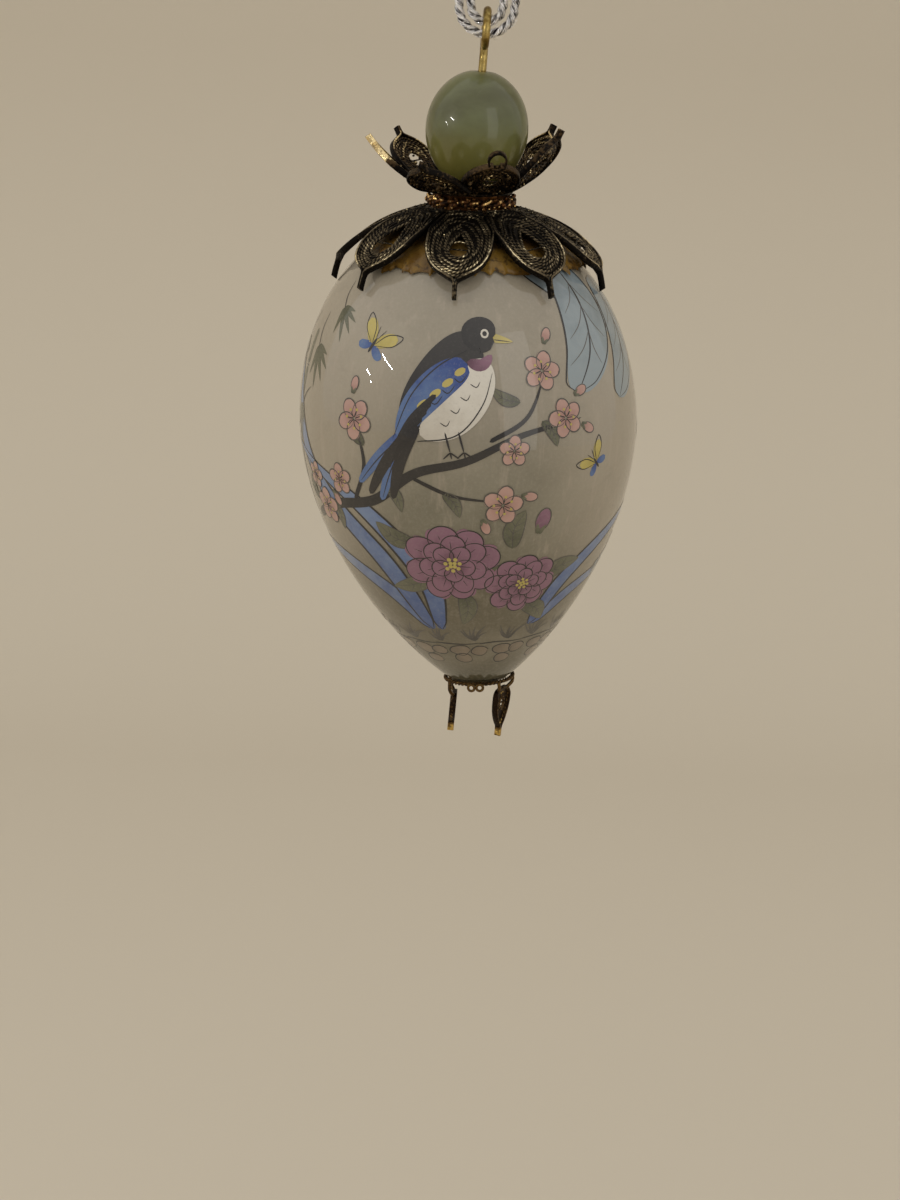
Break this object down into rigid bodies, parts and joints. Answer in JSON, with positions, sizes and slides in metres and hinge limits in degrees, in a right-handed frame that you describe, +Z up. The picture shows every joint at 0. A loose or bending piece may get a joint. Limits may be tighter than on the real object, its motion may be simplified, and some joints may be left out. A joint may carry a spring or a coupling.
{
  "type": "hanging glass egg ornament",
  "caption": "Hollow glass egg painted on its inner wall, hung by an eye pin and a doubled cord, with a stone bead in a filigree cup, a petalled filigree cap and a small wire foot cap.",
  "frame": {"origin": "top of the knot in the cord, the point that the ornament is hung from", "axes": "+Z up, -Y towards the viewer, +X to the viewer's right"},
  "size_m": [0.045, 0.045, 0.1134],
  "materials": {
    "silver_cord": "metallic twisted cord",
    "bright_brass": "polished, slightly tarnished",
    "aged_brass": "antiqued dark with worn gold edges",
    "red_brass": "reddish twisted wire",
    "green_stone": "polished translucent grey-green stone",
    "milky_glass": "clear gloss over a milky painted inner wall",
    "amber_adhesive": "aged amber adhesive"
  },
  "bodies": {
    "hanger": {"cord_outer_turn": "silver_cord", "cord_inner_turn": "silver_cord", "cord_knot": "silver_cord"},
    "ornament": {"eye_pin": "bright_brass", "filigree_cup": "aged_brass", "rope_collar": "red_brass", "collar_adhesive": "amber_adhesive", "filigree_cap": "aged_brass", "adhesive_bed": "amber_adhesive", "glass_egg": "milky_glass", "foot_adhesive": "amber_adhesive", "foot_cap": "aged_brass"},
    "bead": {"stone_bead": "green_stone"}
  },
  "joints": [
    {"name": "eye_swing", "type": "hinge", "parent": "hanger", "child": "ornament", "pos_m": [0, 0, -0.01925], "axis": [1, 0, 0], "range_deg": [-60, 60]},
    {"name": "bead_spin", "type": "hinge", "parent": "ornament", "child": "bead", "pos_m": [-0.00057, 0, -0.03194], "axis": [0.045, 0, 0.999], "continuous": true}
  ]
}
